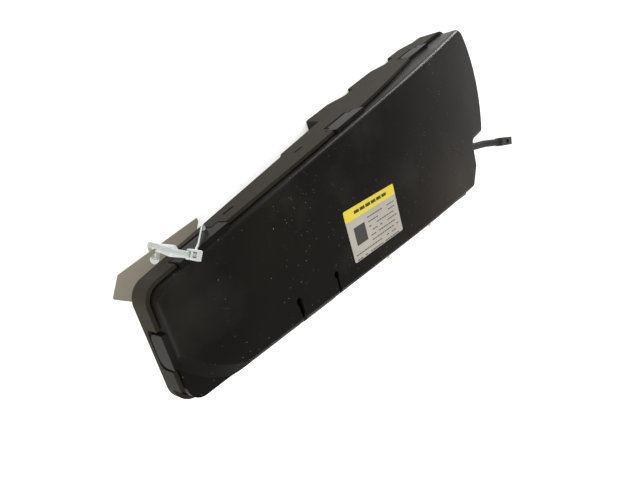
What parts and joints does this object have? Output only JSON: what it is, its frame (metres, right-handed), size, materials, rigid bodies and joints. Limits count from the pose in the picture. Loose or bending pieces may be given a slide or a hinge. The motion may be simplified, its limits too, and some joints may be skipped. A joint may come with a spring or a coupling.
{
  "type": "side airbag module",
  "caption": "Closed seat side airbag module: wedge-shaped black plastic case with hinged cover, gas generator, folded cushion, studs and harness.",
  "frame": {"origin": "on the face of the middle foot of the base's back, which stands on the surface", "axes": "+X along the straight hinge side to the wide end, +Y from the hinge side to the sloped side, +Z from the back to the cover"},
  "size_m": [0.5405, 0.1613, 0.0695],
  "materials": {
    "case_plastic": "matte moulded",
    "cover_plastic": "satin moulded",
    "label": "printed film",
    "plated_steel": "plated",
    "machined_aluminium": "machined",
    "initiator_brass": "plated",
    "zinc_steel": "zinc plated",
    "bare_sheet": "bare",
    "plug_plastic": "moulded",
    "lock_plastic": "moulded",
    "grommet_rubber": "matte",
    "cushion_fabric": "woven nylon",
    "strap_fabric": "woven nylon",
    "cable_jacket": "matte",
    "connector_plastic": "moulded",
    "tag_card": "uncoated card",
    "tie_nylon": "natural nylon",
    "stud_steel": "plated",
    "lead_yellow": "smooth",
    "lead_black": "smooth",
    "foam": "soft foam"
  },
  "bodies": {
    "housing": {"housing_base": "case_plastic", "inflator_tube": "plated_steel", "inflator_end_cap": "plated_steel", "diffuser_cap": "plated_steel", "initiator_holder": "machined_aluminium", "initiator": "initiator_brass", "inflator_bracket": "zinc_steel", "heat_shield": "bare_sheet", "squib_plug": "plug_plastic", "plug_lock": "lock_plastic", "cable_grommet": "grommet_rubber", "folded_cushion": "cushion_fabric", "harness_cable": "cable_jacket", "harness_connector": "connector_plastic", "tie_strap": "tie_nylon", "tie_head": "tie_nylon", "tie_tail": "tie_nylon", "hinge_film_1": "case_plastic", "hinge_film_2": "case_plastic", "hinge_film_3": "case_plastic", "clamp_band_1": "zinc_steel", "clamp_band_2": "zinc_steel", "mounting_stud_1": "stud_steel", "mounting_stud_2": "stud_steel", "inner_lead_1": "lead_yellow", "inner_lead_2": "lead_black", "cushion_strap_1": "strap_fabric", "cushion_strap_2": "strap_fabric", "cushion_strap_3": "strap_fabric", "foam_pad_1": "foam", "foam_pad_2": "foam", "foam_pad_3": "foam"},
    "cover": {"cover_shell": "cover_plastic", "product_label": "label"},
    "tag": {"parts_tag": "tag_card"}
  },
  "joints": [
    {"name": "cover_hinge", "type": "hinge", "parent": "housing", "child": "cover", "pos_m": [0, -0.0606, 0.043], "axis": [1, 0, 0], "range_deg": [0, 110]},
    {"name": "tag_swivel", "type": "hinge", "parent": "housing", "child": "tag", "pos_m": [-0.232, 0.004, 0.0015], "axis": [0, 0, 1], "range_deg": [-25, 25]}
  ]
}
